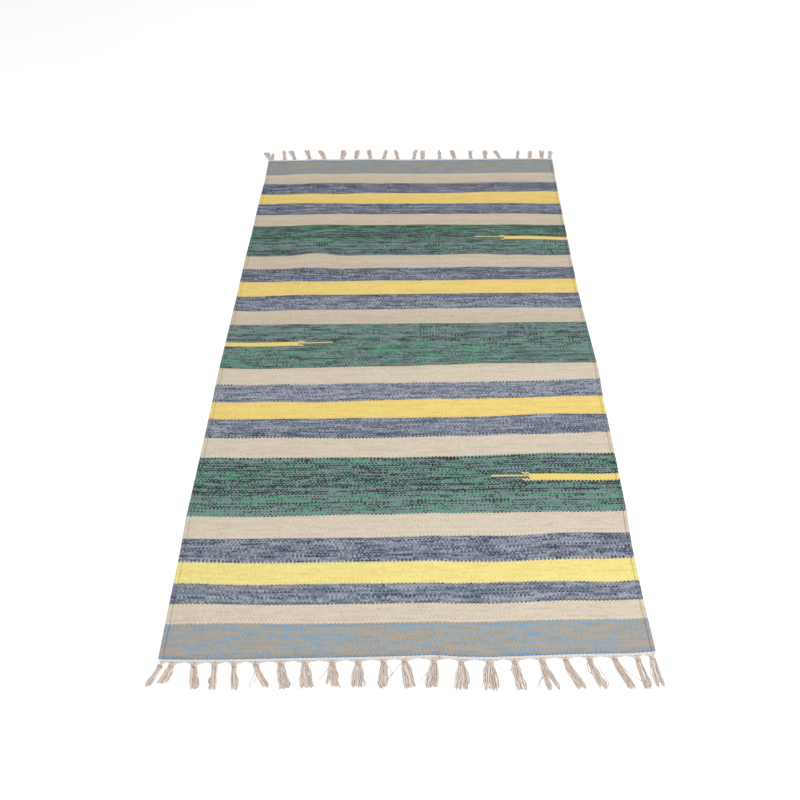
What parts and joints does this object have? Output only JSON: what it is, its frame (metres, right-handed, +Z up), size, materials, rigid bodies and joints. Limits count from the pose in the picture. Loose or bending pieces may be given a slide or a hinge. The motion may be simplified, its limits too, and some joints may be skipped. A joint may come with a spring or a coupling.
{
  "type": "kilim rug",
  "caption": "Flat-woven striped rug for a floor, with corded sides, a white twined heading along each end and knotted warp tassels.",
  "frame": {"origin": "on the floor, under the middle of the woven cloth", "axes": "+Z up, out of the face that shows; +Y along the length, to the far end; +X across, to the right"},
  "size_m": [0.9255, 1.6229, 0.006],
  "materials": {
    "striped_cloth": "weft-faced cotton flatweave, matt, striped in cream, yellow, blue-grey marl, green marl and blue and tan",
    "white_twine": "white cotton twining, matt",
    "warp_yarn": "undyed beige cotton warp yarn, plied and knotted"
  },
  "bodies": {
    "root": {"cloth": "striped_cloth", "heading_near": "white_twine", "tassel_near_01": "warp_yarn", "tassel_near_02": "warp_yarn", "tassel_near_03": "warp_yarn", "tassel_near_04": "warp_yarn", "tassel_near_05": "warp_yarn", "tassel_near_06": "warp_yarn", "tassel_near_07": "warp_yarn", "tassel_near_08": "warp_yarn", "tassel_near_09": "warp_yarn", "tassel_near_10": "warp_yarn", "tassel_near_11": "warp_yarn", "tassel_near_12": "warp_yarn", "tassel_near_13": "warp_yarn", "tassel_near_14": "warp_yarn", "tassel_near_15": "warp_yarn", "tassel_near_16": "warp_yarn", "tassel_near_17": "warp_yarn", "tassel_near_18": "warp_yarn", "tassel_near_19": "warp_yarn", "tassel_near_20": "warp_yarn", "tassel_near_21": "warp_yarn", "tassel_near_22": "warp_yarn", "heading_far": "white_twine", "tassel_far_01": "warp_yarn", "tassel_far_02": "warp_yarn", "tassel_far_03": "warp_yarn", "tassel_far_04": "warp_yarn", "tassel_far_05": "warp_yarn", "tassel_far_06": "warp_yarn", "tassel_far_07": "warp_yarn", "tassel_far_08": "warp_yarn", "tassel_far_09": "warp_yarn", "tassel_far_10": "warp_yarn", "tassel_far_11": "warp_yarn", "tassel_far_12": "warp_yarn", "tassel_far_13": "warp_yarn", "tassel_far_14": "warp_yarn", "tassel_far_15": "warp_yarn", "tassel_far_16": "warp_yarn", "tassel_far_17": "warp_yarn", "tassel_far_18": "warp_yarn", "tassel_far_19": "warp_yarn", "tassel_far_20": "warp_yarn", "tassel_far_21": "warp_yarn"}
  },
  "joints": []
}
